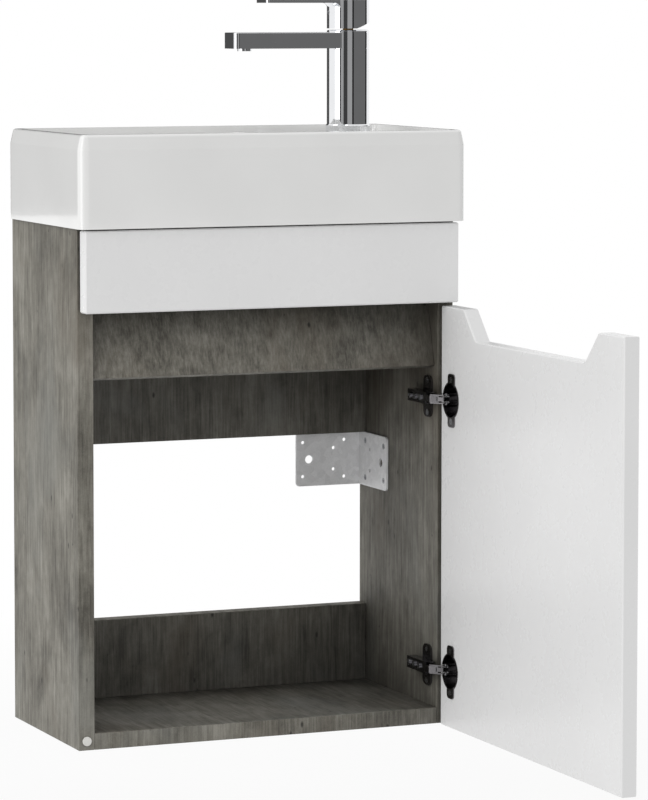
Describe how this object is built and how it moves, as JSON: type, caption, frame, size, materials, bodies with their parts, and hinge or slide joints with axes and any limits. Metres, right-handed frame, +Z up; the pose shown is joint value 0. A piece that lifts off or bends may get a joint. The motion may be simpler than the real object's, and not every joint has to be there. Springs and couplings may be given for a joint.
{
  "type": "wall-hung vanity unit",
  "caption": "Narrow wall-hung vanity: concrete-look carcass, white door on concealed hinges, ceramic basin with side tap deck, chrome lever mixer and plug waste.",
  "frame": {"origin": "midway between the two wall bolt holes, on the wall plane", "axes": "+X to the viewer's right, +Y into the wall, +Z up; the front faces -Y"},
  "size_m": [0.4, 0.5862, 0.7163],
  "materials": {
    "concrete_laminate": "concrete-look melamine, matt",
    "white_gloss_front": "white lacquer, high gloss",
    "glazed_ceramic": "white glaze",
    "tap_chrome": "polished chrome plate",
    "galvanised_steel": "bright zinc plate",
    "hinge_nickel": "dark nickel plate",
    "steel_fastener": "zinc plate",
    "cam_zinc": "raw zinc casting",
    "beech_dowel": "raw beech",
    "bumper_plastic": "soft white plastic",
    "seal_rubber": "black rubber",
    "cartridge_plastic": "moulded plastic",
    "brass": "turned brass"
  },
  "bodies": {
    "cabinet": {"side_panel_left": "concrete_laminate", "side_panel_right": "concrete_laminate", "bottom_panel": "concrete_laminate", "lower_back_rail": "concrete_laminate", "upper_back_rail": "concrete_laminate", "apron_panel": "concrete_laminate", "panel_dowels": "beech_dowel", "cam_locks": "cam_zinc", "cam_bolts": "steel_fastener", "front_panel": "white_gloss_front", "front_fixing_brackets": "galvanised_steel", "front_fixing_screws": "steel_fastener", "wall_bracket_left": "galvanised_steel", "wall_bracket_right": "galvanised_steel", "bracket_screws": "steel_fastener", "hinge_plate_lower": "hinge_nickel", "hinge_plate_upper": "hinge_nickel", "plate_screws": "steel_fastener", "hinge_arm_lower": "hinge_nickel", "hinge_arm_upper": "hinge_nickel", "hinge_adjusting_screws": "steel_fastener", "hinge_arm_pins": "steel_fastener", "door_bumper": "bumper_plastic", "basin": "glazed_ceramic", "tap_body": "tap_chrome", "tap_base_ring": "tap_chrome", "tap_base_gasket": "seal_rubber", "tap_aerator": "tap_chrome", "cartridge_housing": "cartridge_plastic", "cartridge_nut": "tap_chrome", "tap_fixing_stud": "steel_fastener", "tap_fixing_washer": "steel_fastener", "tap_fixing_nut": "brass", "waste_body": "tap_chrome", "waste_flange_seal": "seal_rubber", "waste_back_washer": "seal_rubber", "waste_back_nut": "cartridge_plastic"},
    "inner_links": {"inner_link_lower": "hinge_nickel", "inner_link_upper": "hinge_nickel"},
    "outer_links": {"outer_link_lower": "hinge_nickel", "outer_link_upper": "hinge_nickel"},
    "door": {"door_panel": "white_gloss_front", "hinge_cup_lower": "hinge_nickel", "hinge_cup_upper": "hinge_nickel", "cup_screws": "steel_fastener", "cup_pins": "steel_fastener"},
    "tap_turret": {"cartridge_turret": "cartridge_plastic", "spindle_pin": "steel_fastener"},
    "tap_lever": {"cartridge_spindle": "brass", "tap_handle": "tap_chrome", "handle_grub_screw": "steel_fastener", "handle_index_plug": "tap_chrome"},
    "plug": {"waste_plug": "tap_chrome", "plug_retaining_clip": "steel_fastener", "plug_seal": "seal_rubber"}
  },
  "joints": [
    {"name": "inner_link_swing", "type": "hinge", "parent": "cabinet", "child": "inner_links", "pos_m": [0.176, -0.202, 0], "axis": [0, 0, 1], "range_deg": [-5.6, 48.9]},
    {"name": "door_swing", "type": "hinge", "parent": "inner_links", "child": "door", "pos_m": [0.18517, -0.20665, 0], "axis": [0, 0, 1], "range_deg": [-138.72, 15.4]},
    {"name": "outer_link_swing", "type": "hinge", "parent": "cabinet", "child": "outer_links", "pos_m": [0.1705, -0.197, 0], "axis": [0, 0, 1], "range_deg": [-4.6, 40.1]},
    {"name": "lever_turn", "type": "hinge", "parent": "cabinet", "child": "tap_turret", "pos_m": [0.1197, -0.1075, 0.4268], "axis": [0, 0, 1], "range_deg": [-45, 45]},
    {"name": "lever_lift", "type": "hinge", "parent": "tap_turret", "child": "tap_lever", "pos_m": [0.1197, -0.1075, 0.4268], "axis": [0, 1, 0], "range_deg": [0, 20]},
    {"name": "plug_slide", "type": "slide", "parent": "cabinet", "child": "plug", "axis": [0, 0, 1], "range_m": [0, 0.008]}
  ],
  "couplings": [
    {"joint": "inner_link_swing", "follows": "door_swing", "ratio": -0.3512},
    {"joint": "outer_link_swing", "follows": "door_swing", "ratio": -0.28781}
  ]
}
